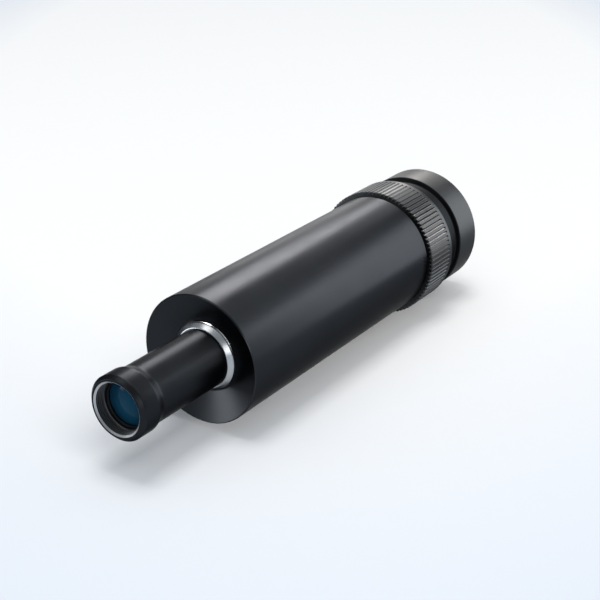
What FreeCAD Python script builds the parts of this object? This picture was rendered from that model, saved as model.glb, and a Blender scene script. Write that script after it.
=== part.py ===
"""Telecentric lens with a C-mount: a narrow sliding nose, a thick barrel and a knurled focus ring.

The optical axis is Z. The end of the camera thread is at height 0, and the nose points up.
Everything is in millimetres.
"""
import FreeCAD, Part
import math
import os
import types
import Sketcher

# Driving dimensions: alias, value and meaning. Radii run from the axis outwards and lengths along it.
DIMENSIONS = [
    # rear lens group and the tubes round it, from the glass outwards
    ("rear_lens_radius", 10.8, "rim radius of the rear lenses"),
    ("rear_rim_width", 1.2, "width of the rim round the rear lenses' clear part"),
    ("fit_gap", 0.02, "radial gap of pieces that are screwed or bonded together"),
    ("slide_gap", 0.04, "radial gap of pieces that slide or turn in each other"),
    ("carrier_wall", 1.3, "wall of the lens carrier round the rear lenses"),
    ("sleeve_wall", 1.4, "wall of the barrel under the focus ring"),
    ("shoulder_rise", 1.44, "step from the focus ring's seat to the barrel's outside"),
    ("knurl_rise", 1.3, "height of the focus ring over the barrel"),
    ("collar_rise", 0.6, "height of the rear collar over the barrel"),
    ("neck_rise", 0.15, "height of the mount's neck over the barrel"),
    # mount
    ("thread_radius", 12.7, "major radius of the camera thread"),
    ("thread_length", 4.0, "length of the camera thread"),
    ("thread_chamfer", 0.5, "bevel at the start of the camera thread"),
    ("collar_length", 9.0, "length of the rear collar"),
    ("collar_floor", 4.2, "thickness of the collar behind the barrel's end"),
    ("neck_length", 4.2, "length of the mount's neck"),
    ("neck_groove_length", 2.6, "length of the groove round the neck, next to the collar"),
    ("neck_groove_depth", 0.85, "depth of the groove round the neck"),
    ("edge_break", 0.25, "small bevel on outer edges"),
    # focus ring and its drive
    ("ring_length", 11.6, "length of the focus ring"),
    ("washer_thickness", 0.2, "thickness of the glide washers"),
    ("flute_count", 88, "number of flutes round the focus ring"),
    ("flute_length", 9.5, "length of the flutes"),
    ("flute_width", 0.62, "width of a flute at the surface"),
    ("flute_depth", 0.44, "depth of a flute"),
    ("groove_depth", 1.2, "depth of the helical grooves inside the ring"),
    ("turn_range", 120.0, "turn of the focus ring in degrees"),
    ("focus_travel", 3.0, "travel of the nose over the whole turn"),
    ("pin_radius", 1.0, "radius of a follower pin"),
    ("pin_stem_radius", 0.75, "radius of the pin's stem in the carrier"),
    ("entry_turn", 10.0, "turn in degrees from a groove's working end to its entry"),
    ("pin_end_gap", 0.08, "gap between a pin's end and the floor of its groove"),
    ("overcut", 0.2, "how far a cut starts outside the solid that it enters"),
    # main barrel, its dished face and the guide bush
    ("body_length", 73.4, "length of the barrel in front of the focus ring"),
    ("dish_depth", 2.4, "depth of the dished front face"),
    ("front_wall", 2.7, "wall behind the dish"),
    ("bush_wall", 1.26, "wall of the guide bush"),
    ("bush_rise", 1.5, "height of the guide bush over the dish"),
    ("bush_bevel", 0.5, "front bevel of the guide bush"),
    ("flange_rise", 1.8, "step of the bush's inner flange"),
    ("flange_thickness", 2.0, "thickness of the bush's inner flange"),
    ("bush_tail", 4.0, "length of the guide bush behind its flange"),
    ("retainer_thickness", 2.0, "thickness of the bush's retaining ring"),
    ("seal_thickness", 1.0, "height of the wiper ring in the bush"),
    ("seal_depth", 0.42, "depth of the wiper ring's groove"),
    ("seal_setback", 2.2, "distance of the wiper ring from the bush's front"),
    # nose
    ("nose_reach", 26.6, "reach of the nose in front of the barrel"),
    ("nose_wall", 1.0, "wall of the nose tube round its front thread"),
    ("head_rise", 0.6, "step from the nose tube to its head"),
    ("head_length", 4.9, "length of the head with its front bevel"),
    ("head_taper", 2.5, "length of the cone behind the head"),
    ("head_chamfer", 0.75, "front bevel of the head"),
    ("rim_bevel_width", 0.4, "width of the bright cut rim"),
    ("rim_bevel_depth", 0.3, "depth of the bright cut rim"),
    ("recess_depth", 2.85, "depth of the threaded recess in the nose"),
    ("undercut_height", 0.35, "height of the groove that ends the recess's thread"),
    ("undercut_depth", 0.2, "depth of the groove that ends the recess's thread"),
    ("lip_length", 2.0, "length of the lip that the front lenses rest on"),
    ("tail_step", 0.3, "step from the nose tube to its rear thread"),
    ("hub_gap", 1.5, "free length behind the guide bush at the end of travel"),
    ("hub_length", 8.0, "length of the thread between nose and carrier"),
    # front lenses
    ("objective_radius", 5.3, "rim radius of the front lenses"),
    ("objective_rim_width", 0.4, "width of the rim round the front lenses' clear part"),
    ("retaining_step", 0.2, "how much wider the retaining thread is than the front lenses"),
    ("recess_step", 0.2, "how much wider the recess is than the retaining thread"),
    ("front_ring_setback", 0.1, "depth of the front retaining ring behind the recess's floor"),
    ("front_ring_room", 0.1, "room behind the front retaining ring's thread"),
    ("front_ring_thickness", 0.65, "thickness of the front retaining ring"),
    ("front_ring_bevel", 0.3, "bevel inside the front retaining ring"),
    ("objective_crown_edge", 1.4, "edge thickness of the front crown lens"),
    ("objective_flint_edge", 2.0, "edge thickness of the front flint lens"),
    ("objective_spacer_length", 1.5, "length of the front spacer"),
    ("objective_singlet_edge", 1.6, "edge thickness of the third front lens"),
    ("objective_front_curve", 14.0, "radius of curvature of the front surface"),
    ("objective_inner_curve", 12.0, "radius of curvature of the cemented front surface"),
    ("objective_back_curve", 38.0, "radius of curvature behind the front pair"),
    ("singlet_curve", 18.0, "radius of curvature of the third front lens"),
    # rear stack in the carrier
    ("carrier_tail", 3.7, "length of the carrier behind the pins"),
    ("stop_height", 26.8, "height of the stop's seat over the pins"),
    ("stop_backing", 2.0, "length of the carrier's front land past the stop"),
    ("carrier_cone", 6.0, "length of the carrier's cone"),
    ("relief_depth", 0.4, "depth of the relief between the carrier's two lands"),
    ("land_length", 9.0, "length of each of the carrier's lands"),
    ("hub_wall", 2.8, "wall of the carrier's front thread"),
    ("front_tube_wall", 1.3, "wall of the carrier's front tube"),
    ("stop_thickness", 0.5, "thickness of the stop"),
    ("stop_radius", 2.4, "radius of the stop's hole"),
    ("stop_spacer_length", 6.5, "length of the spacer behind the stop"),
    ("rear_singlet_edge", 2.0, "edge thickness of the rear singlet"),
    ("rear_spacer_length", 1.5, "length of the rear spacer"),
    ("rear_crown_edge", 2.6, "edge thickness of the rear crown lens"),
    ("rear_flint_edge", 3.4, "edge thickness of the rear flint lens"),
    ("rear_ring_thickness", 1.8, "thickness of the rear retaining ring"),
    ("rear_singlet_curve", 60.0, "radius of curvature of the rear singlet"),
    ("rear_front_curve", 48.0, "radius of curvature of the rear crown's front"),
    ("rear_inner_curve", 34.0, "radius of curvature of the cemented rear surface"),
    # fixed last lens in the mount
    ("field_lens_radius", 9.5, "rim radius of the last lens"),
    ("field_rim_width", 0.9, "width of the rim round the last lens's clear part"),
    ("field_lens_edge", 1.4, "edge thickness of the last lens"),
    ("field_curve", 40.0, "radius of curvature of the last lens"),
    ("field_seat", 0.8, "thickness of the seat over the last lens"),
    ("field_ring_thickness", 1.4, "thickness of the last lens's retaining ring"),
    # shared small features
    ("notch_width", 0.8, "width of the spanner notches in the retaining rings"),
    ("notch_depth", 0.4, "depth of the spanner notches"),
]


class Size:
    """A length that carries its number and the sheet formula behind it, so sketches follow the sheet."""

    def __init__(self, formula, value):
        self.formula = formula
        self.value = value

    def joined(self, sign, other, value):
        return Size(f"({self.formula} {sign} {as_size(other).formula})", value)

    def __add__(self, other):
        return self.joined("+", other, self.value + as_size(other).value)

    def __sub__(self, other):
        return self.joined("-", other, self.value - as_size(other).value)

    def __mul__(self, other):
        return self.joined("*", other, self.value * as_size(other).value)

    def __truediv__(self, other):
        return self.joined("/", other, self.value / as_size(other).value)


def as_size(number):
    return number if isinstance(number, Size) else Size(str(number), number)


doc = FreeCAD.newDocument("TelecentricLens")
sheet = doc.addObject("Spreadsheet::Sheet", "Sizes")
for row, (alias, number, meaning) in enumerate(DIMENSIONS, start=1):
    sheet.set(f"A{row}", meaning)
    sheet.set(f"B{row}", str(number))
    sheet.setAlias(f"B{row}", alias)
doc.recompute()
s = types.SimpleNamespace(
    **{alias: Size(f"Sizes.{alias}", float(sheet.get(alias))) for alias, _, _ in DIMENSIONS}
)
ON_AXIS = as_size(0)

# Radii that follow from the sheet
rear_clear_radius = s.rear_lens_radius - s.rear_rim_width
objective_clear_radius = s.objective_radius - s.objective_rim_width
field_clear_radius = s.field_lens_radius - s.field_rim_width
carrier_bore = s.rear_lens_radius + s.fit_gap
carrier_radius = carrier_bore + s.carrier_wall
barrel_bore = carrier_radius + s.slide_gap
seat_radius = barrel_bore + s.sleeve_wall
barrel_radius = seat_radius + s.shoulder_rise
ring_bore = seat_radius + s.slide_gap
ring_radius = barrel_radius + s.knurl_rise
groove_radius = ring_bore + s.groove_depth
collar_radius = barrel_radius + s.collar_rise
neck_radius = barrel_radius + s.neck_rise
neck_groove_radius = neck_radius - s.neck_groove_depth
field_bore = s.field_lens_radius + s.fit_gap
objective_bore = s.objective_radius + s.fit_gap
retaining_radius = s.objective_radius + s.retaining_step
recess_radius = retaining_radius + s.recess_step
nose_radius = recess_radius + s.nose_wall
head_radius = nose_radius + s.head_rise
tail_radius = nose_radius - s.tail_step
hub_bore = tail_radius + s.fit_gap
hub_radius = hub_bore + s.hub_wall
bush_bore = nose_radius + s.slide_gap
bush_radius = bush_bore + s.bush_wall
bush_flange_radius = bush_radius + s.flange_rise

# Heights on the optical axis, from the end of the camera thread up to the tip of the nose
flange_face = s.thread_length
collar_top = flange_face + s.collar_length
neck_top = collar_top + s.neck_length
neck_groove_top = collar_top + s.neck_groove_length
barrel_bottom = flange_face + s.collar_floor
ring_bottom = neck_top + s.washer_thickness
ring_top = ring_bottom + s.ring_length
shoulder = ring_top + s.washer_thickness
barrel_top = shoulder + s.body_length
dish_floor = barrel_top - s.dish_depth
bush_top = dish_floor + s.bush_rise
wall_inside = dish_floor - s.front_wall
bush_flange_bottom = wall_inside - s.flange_thickness
bush_bottom = bush_flange_bottom - s.bush_tail
tip = barrel_top + s.nose_reach
pin_height = ring_bottom + s.ring_length / 2
hub_top = bush_bottom - s.focus_travel / 2 - s.hub_gap
hub_bottom = hub_top - s.hub_length


def new_body(label):
    body = doc.addObject("PartDesign::Body", label)
    body.Label = label
    return body


def origin_part(body, role):
    return next(part for part in body.Origin.OriginFeatures if part.Role == role)


def sketch_on(body, role, name):
    sketch = body.newObject("Sketcher::SketchObject", name)
    sketch.AttachmentSupport = [(origin_part(body, role), "")]
    sketch.MapMode = "FlatFace"
    return sketch


def hold(sketch, edge, end, across, up):
    """Hold one end of an edge at two driven distances from the sketch's origin."""
    for kind, axis, size in (("DistanceX", -2, across), ("DistanceY", -1, up)):
        if size is ON_AXIS:
            sketch.addConstraint(Sketcher.Constraint("PointOnObject", edge, end, axis))
        else:
            index = sketch.addConstraint(Sketcher.Constraint(kind, -1, 1, edge, end, size.value))
            sketch.setExpression(f"Constraints[{index}]", size.formula)


def draw_outline(sketch, points):
    """Draw a closed line through the points, each held at its own place."""
    corners = [FreeCAD.Vector(across.value, up.value, 0) for across, up in points]
    count = len(corners)
    for index in range(count):
        sketch.addGeometry(Part.LineSegment(corners[index], corners[(index + 1) % count]), False)
    for index, (across, up) in enumerate(points):
        sketch.addConstraint(Sketcher.Constraint("Coincident", index, 1, (index - 1) % count, 2))
        hold(sketch, index, 1, across, up)


def revolve(body, sketch):
    turned = body.newObject("PartDesign::Revolution", f"{body.Name}_Turned")
    turned.Profile = sketch
    turned.ReferenceAxis = (sketch, ["V_Axis"])
    turned.Angle = 360
    sketch.Visibility = False
    return turned


def turned_body(label, points):
    """A piece turned on a lathe: its half section, spun round the optical axis."""
    body = new_body(label)
    sketch = sketch_on(body, "XZ_Plane", f"{label}_Section")
    draw_outline(sketch, points)
    revolve(body, sketch)
    return body


def tube_body(label, inner, outer, low, high):
    return turned_body(label, [(inner, low), (outer, low), (outer, high), (inner, high)])


# The points of an edge, in the order in which the sketcher numbers them
EDGE_POINTS = ("whole edge", "start", "end", "centre")
START, END, CENTRE = (EDGE_POINTS.index(name) for name in ("start", "end", "centre"))


def lens_face(sketch, clear, height, curve, outwards):
    """Draw one face of a lens from the axis to its rim. Gives the edge, its end on the axis and its rim end."""
    at = FreeCAD.Vector
    if curve is None:
        line = Part.LineSegment(at(0, height.value, 0), at(clear.value, height.value, 0))
        edge = sketch.addGeometry(line, False)
        sketch.addConstraint(Sketcher.Constraint("Horizontal", edge))
        on_axis, on_rim = START, END
    else:
        radius, bulge = curve
        side = outwards * bulge
        centre = height.value - side * math.sqrt(radius.value**2 - clear.value**2)
        circle = Part.Circle(at(0, centre, 0), at(0, 0, 1), radius.value)
        lean = math.asin(clear.value / radius.value)
        if side > 0:
            arc = Part.ArcOfCircle(circle, math.pi / 2 - lean, math.pi / 2)
            on_axis, on_rim = END, START
        else:
            arc = Part.ArcOfCircle(circle, -math.pi / 2, lean - math.pi / 2)
            on_axis, on_rim = START, END
        edge = sketch.addGeometry(arc, False)
        sketch.addConstraint(Sketcher.Constraint("PointOnObject", edge, CENTRE, -2))
        index = sketch.addConstraint(Sketcher.Constraint("Radius", edge, radius.value))
        sketch.setExpression(f"Constraints[{index}]", radius.formula)
    hold(sketch, edge, on_rim, clear, height)
    sketch.addConstraint(Sketcher.Constraint("PointOnObject", edge, on_axis, -2))
    return edge, on_axis, on_rim


def lens_body(label, rim, clear, low, high, low_curve=None, high_curve=None):
    """A lens with a flat rim round each face. A curve is (radius, +1 for a bulge or -1 for a hollow)."""
    body = new_body(label)
    sketch = sketch_on(body, "XZ_Plane", f"{label}_Section")
    low_edge, low_pole, low_rim = lens_face(sketch, clear, low, low_curve, outwards=-1)
    high_edge, high_pole, high_rim = lens_face(sketch, clear, high, high_curve, outwards=1)
    at = FreeCAD.Vector
    corners = [
        at(clear.value, low.value, 0), at(rim.value, low.value, 0),
        at(rim.value, high.value, 0), at(clear.value, high.value, 0),
    ]
    low_land, side, high_land = [
        sketch.addGeometry(Part.LineSegment(corner, following), False)
        for corner, following in zip(corners, corners[1:])
    ]
    axis = sketch.addGeometry(Part.LineSegment(at(0, high.value, 0), at(0, low.value, 0)), False)
    for first, first_end, second, second_end in (
        (low_edge, low_rim, low_land, START),
        (low_land, END, side, START),
        (side, END, high_land, START),
        (high_land, END, high_edge, high_rim),
        (high_edge, high_pole, axis, START),
        (axis, END, low_edge, low_pole),
    ):
        sketch.addConstraint(Sketcher.Constraint("Coincident", first, first_end, second, second_end))
    hold(sketch, side, START, rim, low)
    hold(sketch, side, END, rim, high)
    revolve(body, sketch)
    return body


def lift(sketch, height):
    sketch.AttachmentOffset = FreeCAD.Placement(FreeCAD.Vector(0, 0, height.value), FreeCAD.Rotation())
    sketch.setExpression(".AttachmentOffset.Base.z", height.formula)


def turn(sketch, axis, degrees):
    """Turn a sketch about the optical axis, which is its own axis Y on an upright plane, else Z."""
    placement = sketch.AttachmentOffset
    placement.Rotation = FreeCAD.Rotation(axis, degrees.value)
    sketch.AttachmentOffset = placement
    sketch.setExpression(".AttachmentOffset.Rotation.Angle", degrees.formula)


def pocket(body, sketch, length, backwards=False):
    """Cut the sketch's outline into the body, and make sure that it removed something."""
    before = body.Shape.Volume
    cut = body.newObject("PartDesign::Pocket", f"{sketch.Name}_Cut")
    cut.Profile = sketch
    cut.Reversed = backwards
    cut.Length = length.value
    cut.setExpression("Length", length.formula)
    sketch.Visibility = False
    doc.recompute()
    if not cut.Shape.Volume < before:
        raise RuntimeError(f"{cut.Name} removes nothing")
    return cut


def repeat_round(body, feature, count):
    pattern = body.newObject("PartDesign::PolarPattern", f"{feature.Name}_Pattern")
    pattern.Originals = [feature]
    pattern.Axis = (origin_part(body, "Z_Axis"), [""])
    pattern.Angle = 360
    pattern.Occurrences = int(count.value)
    if count.formula.startswith("Sizes."):
        pattern.setExpression("Occurrences", count.formula)
    body.Tip = pattern
    doc.recompute()
    return pattern


# Main barrel: dished face in front, bush hole, step for the focus ring, straight slots for the pins
bush_hole = bush_radius + s.fit_gap
main_barrel = turned_body("main_barrel", [
    (barrel_bore, barrel_bottom),
    (seat_radius, barrel_bottom),
    (seat_radius, shoulder),
    (barrel_radius, shoulder),
    (barrel_radius, barrel_top - s.edge_break),
    (barrel_radius - s.edge_break, barrel_top),
    (bush_hole, dish_floor),
    (bush_hole, wall_inside),
    (barrel_bore, wall_inside),
])
doc.recompute()


def slot_sketch(body, name, low, high, radius):
    """A round-ended slot along the optical axis, seen from the side."""
    sketch = sketch_on(body, "YZ_Plane", name)
    at = FreeCAD.Vector
    low_end, high_end, half = low.value, high.value, radius.value
    up = at(0, 0, 1)
    sketch.addGeometry([
        Part.LineSegment(at(half, low_end, 0), at(half, high_end, 0)),
        Part.ArcOfCircle(Part.Circle(at(0, high_end, 0), up, half), 0, math.pi),
        Part.LineSegment(at(-half, high_end, 0), at(-half, low_end, 0)),
        Part.ArcOfCircle(Part.Circle(at(0, low_end, 0), up, half), math.pi, 2 * math.pi),
    ], False)
    for edge in range(4):
        sketch.addConstraint(Sketcher.Constraint("Tangent", edge, 2, (edge + 1) % 4, 1))
    for arc, height in ((1, high), (3, low)):
        sketch.addConstraint(Sketcher.Constraint("PointOnObject", arc, 3, -2))
        index = sketch.addConstraint(Sketcher.Constraint("DistanceY", -1, 1, arc, 3, height.value))
        sketch.setExpression(f"Constraints[{index}]", height.formula)
    index = sketch.addConstraint(Sketcher.Constraint("Radius", 1, half))
    sketch.setExpression(f"Constraints[{index}]", radius.formula)
    sketch.addConstraint(Sketcher.Constraint("Equal", 1, 3))
    return sketch


PIN_COUNT = as_size(3)
pin_room = s.pin_radius + s.slide_gap
half_travel = s.focus_travel / 2
straight_slot = slot_sketch(
    main_barrel, "StraightSlot", pin_height - half_travel, pin_height + half_travel, pin_room
)
repeat_round(main_barrel, pocket(main_barrel, straight_slot, barrel_radius, backwards=True), PIN_COUNT)

# Guide bush: bright sleeve that stands out of the dish, with an inner flange and a seal groove
seal_top = bush_top - s.seal_setback
seal_bottom = seal_top - s.seal_thickness
seal_floor = bush_bore + s.seal_depth
turned_body("guide_bush", [
    (bush_bore, bush_bottom),
    (bush_radius, bush_bottom),
    (bush_radius, bush_flange_bottom),
    (bush_flange_radius, bush_flange_bottom),
    (bush_flange_radius, wall_inside - s.fit_gap),
    (bush_radius, wall_inside - s.fit_gap),
    (bush_radius, bush_top - s.bush_bevel),
    (bush_radius - s.bush_bevel, bush_top),
    (bush_bore, bush_top),
    (bush_bore, seal_top),
    (seal_floor, seal_top),
    (seal_floor, seal_bottom),
    (bush_bore, seal_bottom),
])
tube_body(
    "nose_seal", nose_radius + s.fit_gap, seal_floor - s.fit_gap,
    seal_bottom + s.fit_gap, seal_top - s.fit_gap,
)


def rectangle_sketch(body, name, low_across, high_across, half_up, height):
    """A rectangle at a height, even about the sketch's own X axis."""
    sketch = sketch_on(body, "XY_Plane", name)
    left, right, half = low_across.value, high_across.value, half_up.value
    corners = [(left, half), (right, half), (right, -half), (left, -half)]
    points = [FreeCAD.Vector(across, up, 0) for across, up in corners]
    for index in range(4):
        sketch.addGeometry(Part.LineSegment(points[index], points[(index + 1) % 4]), False)
    for index in range(4):
        sketch.addConstraint(Sketcher.Constraint("Coincident", index, 2, (index + 1) % 4, 1))
    hold(sketch, 0, 1, low_across, half_up)
    hold(sketch, 1, 1, high_across, half_up)
    sketch.addConstraint(Sketcher.Constraint("Symmetric", 1, 1, 2, 1, -1))
    sketch.addConstraint(Sketcher.Constraint("Symmetric", 0, 1, 3, 1, -1))
    lift(sketch, height)
    return sketch


NOTCH_COUNT = as_size(2)


def cut_notches(body, inner, outer, face, looks_down=False):
    """Two notches for a pin spanner, across one face of a threaded ring."""
    sketch = rectangle_sketch(
        body, f"{body.Name}_Notch", inner - s.overcut, outer + s.notch_width, s.notch_width / 2, face
    )
    doc.recompute()
    repeat_round(body, pocket(body, sketch, s.notch_depth, backwards=looks_down), NOTCH_COUNT)


def threaded_ring(label, inner, outer, low, high, looks_down=True):
    ring = tube_body(label, inner, outer, low, high)
    cut_notches(ring, inner, outer, low if looks_down else high, looks_down)
    return ring


threaded_ring(
    "bush_retainer", bush_radius + s.fit_gap, barrel_bore - s.fit_gap,
    bush_flange_bottom - s.retainer_thickness, bush_flange_bottom,
)

# Mount: camera thread, collar and neck in one piece, with the seat of the last lens
field_seat_face = barrel_bottom - s.field_seat
turned_body("c_mount", [
    (field_bore, ON_AXIS),
    (s.thread_radius - s.thread_chamfer, ON_AXIS),
    (s.thread_radius, s.thread_chamfer),
    (s.thread_radius, flange_face),
    (collar_radius - s.edge_break, flange_face),
    (collar_radius, flange_face + s.edge_break),
    (collar_radius, collar_top - s.edge_break),
    (collar_radius - s.edge_break, collar_top),
    (neck_groove_radius, collar_top),
    (neck_groove_radius, neck_groove_top),
    (neck_radius, neck_groove_top),
    (neck_radius, neck_top),
    (seat_radius + s.fit_gap, neck_top),
    (seat_radius + s.fit_gap, barrel_bottom - s.fit_gap),
    (field_clear_radius, barrel_bottom - s.fit_gap),
    (field_clear_radius, field_seat_face),
    (field_bore, field_seat_face),
])
field_lens_low = field_seat_face - s.field_lens_edge
lens_body(
    "field_lens", s.field_lens_radius, field_clear_radius, field_lens_low, field_seat_face,
    low_curve=(s.field_curve, 1),
)
threaded_ring(
    "field_lens_ring", field_clear_radius, s.field_lens_radius,
    field_lens_low - s.field_ring_thickness, field_lens_low,
)

# Focus ring: fluted outside, with three helical grooves inside and an entry from the front to each
focus_ring = turned_body("focus_ring", [
    (ring_bore, ring_bottom),
    (ring_radius - s.edge_break, ring_bottom),
    (ring_radius, ring_bottom + s.edge_break),
    (ring_radius, ring_top),
    (ring_bore, ring_top),
])
doc.recompute()

FULL_TURN = 360
DEGREES_PER_RADIAN = 180 / math.pi
lead = s.focus_travel * FULL_TURN / s.turn_range
groove_start_turn = s.turn_range / 2 + pin_room / ring_bore * DEGREES_PER_RADIAN
entry_centre_turn = s.turn_range / 2 + s.entry_turn
groove_turn = groove_start_turn * 2 + s.entry_turn
groove_start_height = pin_height - lead * groove_start_turn / FULL_TURN

helix_sketch = sketch_on(focus_ring, "XZ_Plane", "HelicalGrooveSection")
draw_outline(helix_sketch, [
    (ring_bore - s.overcut, groove_start_height - pin_room),
    (groove_radius, groove_start_height - pin_room),
    (groove_radius, groove_start_height + pin_room),
    (ring_bore - s.overcut, groove_start_height + pin_room),
])
turn(helix_sketch, FreeCAD.Vector(0, 1, 0), groove_start_turn)
groove = focus_ring.newObject("PartDesign::SubtractiveHelix", "HelicalGroove")
groove.Profile = helix_sketch
groove.ReferenceAxis = (helix_sketch, ["V_Axis"])
groove.Mode = "pitch-height-angle"
groove.LeftHanded = True
for name, size in (("Pitch", lead), ("Height", lead * groove_turn / FULL_TURN)):
    setattr(groove, name, size.value)
    groove.setExpression(name, size.formula)
helix_sketch.Visibility = False
doc.recompute()

entry_sketch = rectangle_sketch(
    focus_ring, "GrooveEntry", ring_bore - s.overcut, groove_radius, pin_room, ring_top
)
turn(entry_sketch, FreeCAD.Vector(0, 0, -1), entry_centre_turn)
entry_floor = pin_height + lead * entry_centre_turn / FULL_TURN
entry = pocket(focus_ring, entry_sketch, ring_top - entry_floor)
grooves = focus_ring.newObject("PartDesign::PolarPattern", "HelicalGroove_Pattern")
grooves.Originals = [groove, entry]
grooves.Axis = (origin_part(focus_ring, "Z_Axis"), [""])
grooves.Angle = FULL_TURN
grooves.Occurrences = int(PIN_COUNT.value)
focus_ring.Tip = grooves
doc.recompute()

flute_sketch = sketch_on(focus_ring, "XY_Plane", "Flute")
flute_mouth = ring_radius + s.flute_depth
flute_root = ring_radius - s.flute_depth
mouth_up = FreeCAD.Vector(flute_mouth.value, s.flute_width.value, 0)
mouth_down = FreeCAD.Vector(flute_mouth.value, -s.flute_width.value, 0)
root = FreeCAD.Vector(flute_root.value, 0, 0)
flute_sketch.addGeometry([
    Part.LineSegment(mouth_up, root),
    Part.LineSegment(root, mouth_down),
    Part.LineSegment(mouth_down, mouth_up),
], False)
for edge in range(3):
    flute_sketch.addConstraint(Sketcher.Constraint("Coincident", edge, 2, (edge + 1) % 3, 1))
hold(flute_sketch, 0, 1, flute_mouth, s.flute_width)
hold(flute_sketch, 0, 2, flute_root, ON_AXIS)
flute_sketch.addConstraint(Sketcher.Constraint("Symmetric", 0, 1, 1, 2, -1))
lift(flute_sketch, ring_top)
repeat_round(focus_ring, pocket(focus_ring, flute_sketch, s.flute_length), s.flute_count)

# Glide washers on both faces of the focus ring
tube_body(
    "front_glide_washer", seat_radius + s.fit_gap, barrel_radius - s.edge_break,
    ring_top + s.fit_gap, shoulder,
)
tube_body(
    "rear_glide_washer", seat_radius + s.fit_gap, barrel_radius - s.edge_break,
    neck_top, ring_bottom - s.fit_gap,
)

# Nose tube: head with its bevels, threaded recess, bore of the front lenses and rear thread
recess_floor = tip - s.recess_depth
undercut_top = recess_floor + s.undercut_height
undercut_radius = recess_radius + s.undercut_depth
front_ring_top = recess_floor - s.front_ring_setback
crown_top = front_ring_top - s.front_ring_thickness
crown_bottom = crown_top - s.objective_crown_edge
flint_top = crown_bottom - s.fit_gap
flint_bottom = flint_top - s.objective_flint_edge
objective_spacer_bottom = flint_bottom - s.objective_spacer_length
objective_seat = objective_spacer_bottom - s.objective_singlet_edge
ring_thread_end = crown_top - s.front_ring_room
nose_bore = tail_radius - s.nose_wall
lip_bottom = objective_seat - s.lip_length
head_bottom = tip - s.head_length
turned_body("nose_tube", [
    (nose_bore, hub_bottom),
    (tail_radius, hub_bottom),
    (tail_radius, hub_top),
    (nose_radius, hub_top),
    (nose_radius, head_bottom - s.head_taper),
    (head_radius, head_bottom),
    (head_radius, tip - s.head_chamfer),
    (head_radius - s.head_chamfer, tip),
    (recess_radius + s.rim_bevel_width, tip),
    (recess_radius, tip - s.rim_bevel_depth),
    (recess_radius, undercut_top),
    (undercut_radius, undercut_top),
    (undercut_radius, recess_floor),
    (retaining_radius, recess_floor),
    (retaining_radius, ring_thread_end),
    (objective_bore, ring_thread_end),
    (objective_bore, objective_seat),
    (objective_clear_radius, objective_seat),
    (objective_clear_radius, lip_bottom),
    (nose_bore, lip_bottom),
])

# Front lenses and what holds them in the nose
front_retaining_ring = turned_body("front_retaining_ring", [
    (objective_clear_radius, crown_top),
    (retaining_radius - s.fit_gap, crown_top),
    (retaining_radius - s.fit_gap, front_ring_top),
    (objective_clear_radius + s.front_ring_bevel, front_ring_top),
    (objective_clear_radius, front_ring_top - s.front_ring_bevel),
])
cut_notches(front_retaining_ring, objective_clear_radius, retaining_radius, front_ring_top)
front_lens = (s.objective_radius, objective_clear_radius)
lens_body(
    "objective_crown", *front_lens, crown_bottom, crown_top,
    low_curve=(s.objective_inner_curve, 1), high_curve=(s.objective_front_curve, 1),
)
lens_body(
    "objective_flint", *front_lens, flint_bottom, flint_top,
    low_curve=(s.objective_back_curve, 1), high_curve=(s.objective_inner_curve, -1),
)
tube_body(
    "objective_spacer", objective_clear_radius, s.objective_radius,
    objective_spacer_bottom, flint_bottom,
)
lens_body(
    "objective_singlet", *front_lens, objective_seat, objective_spacer_bottom,
    high_curve=(s.singlet_curve, 1),
)

# Lens carrier: two lands that slide in the barrel, a cone and the thread that holds the nose
carrier_bottom = pin_height - s.carrier_tail
stop_seat = pin_height + s.stop_height
carrier_cone_bottom = stop_seat + s.stop_backing
relief_radius = carrier_radius - s.relief_depth
front_bore = hub_radius - s.front_tube_wall
lens_carrier = turned_body("lens_carrier", [
    (carrier_bore, carrier_bottom),
    (carrier_radius, carrier_bottom),
    (carrier_radius, carrier_bottom + s.land_length),
    (relief_radius, carrier_bottom + s.land_length),
    (relief_radius, carrier_cone_bottom - s.land_length),
    (carrier_radius, carrier_cone_bottom - s.land_length),
    (carrier_radius, carrier_cone_bottom),
    (hub_radius, carrier_cone_bottom + s.carrier_cone),
    (hub_radius, hub_top),
    (hub_bore, hub_top),
    (hub_bore, hub_bottom),
    (front_bore, hub_bottom),
    (front_bore, stop_seat),
    (carrier_bore, stop_seat),
])
doc.recompute()
stem_hole = slot_sketch(
    lens_carrier, "PinHole", pin_height - s.fit_gap, pin_height, s.pin_stem_radius + s.fit_gap
)
repeat_round(lens_carrier, pocket(lens_carrier, stem_hole, barrel_radius, backwards=True), PIN_COUNT)

# Follower pins: a thin stem in the carrier and a thick end in slot and groove
follower_pins = new_body("follower_pins")
follower_pins.AllowCompound = True
pin_sketch = sketch_on(follower_pins, "XZ_Plane", "PinSection")
stem_start = carrier_bore + s.fit_gap
follower_start = carrier_radius + s.fit_gap
pin_end = groove_radius - s.pin_end_gap
draw_outline(pin_sketch, [
    (stem_start, pin_height),
    (pin_end, pin_height),
    (pin_end, pin_height + s.pin_radius),
    (follower_start, pin_height + s.pin_radius),
    (follower_start, pin_height + s.pin_stem_radius),
    (stem_start, pin_height + s.pin_stem_radius),
])
pin = follower_pins.newObject("PartDesign::Revolution", "Pin")
pin.Profile = pin_sketch
pin.ReferenceAxis = (pin_sketch, ["Edge1"])
pin.Angle = FULL_TURN
pin_sketch.Visibility = False
doc.recompute()
repeat_round(follower_pins, pin, PIN_COUNT)

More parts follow.
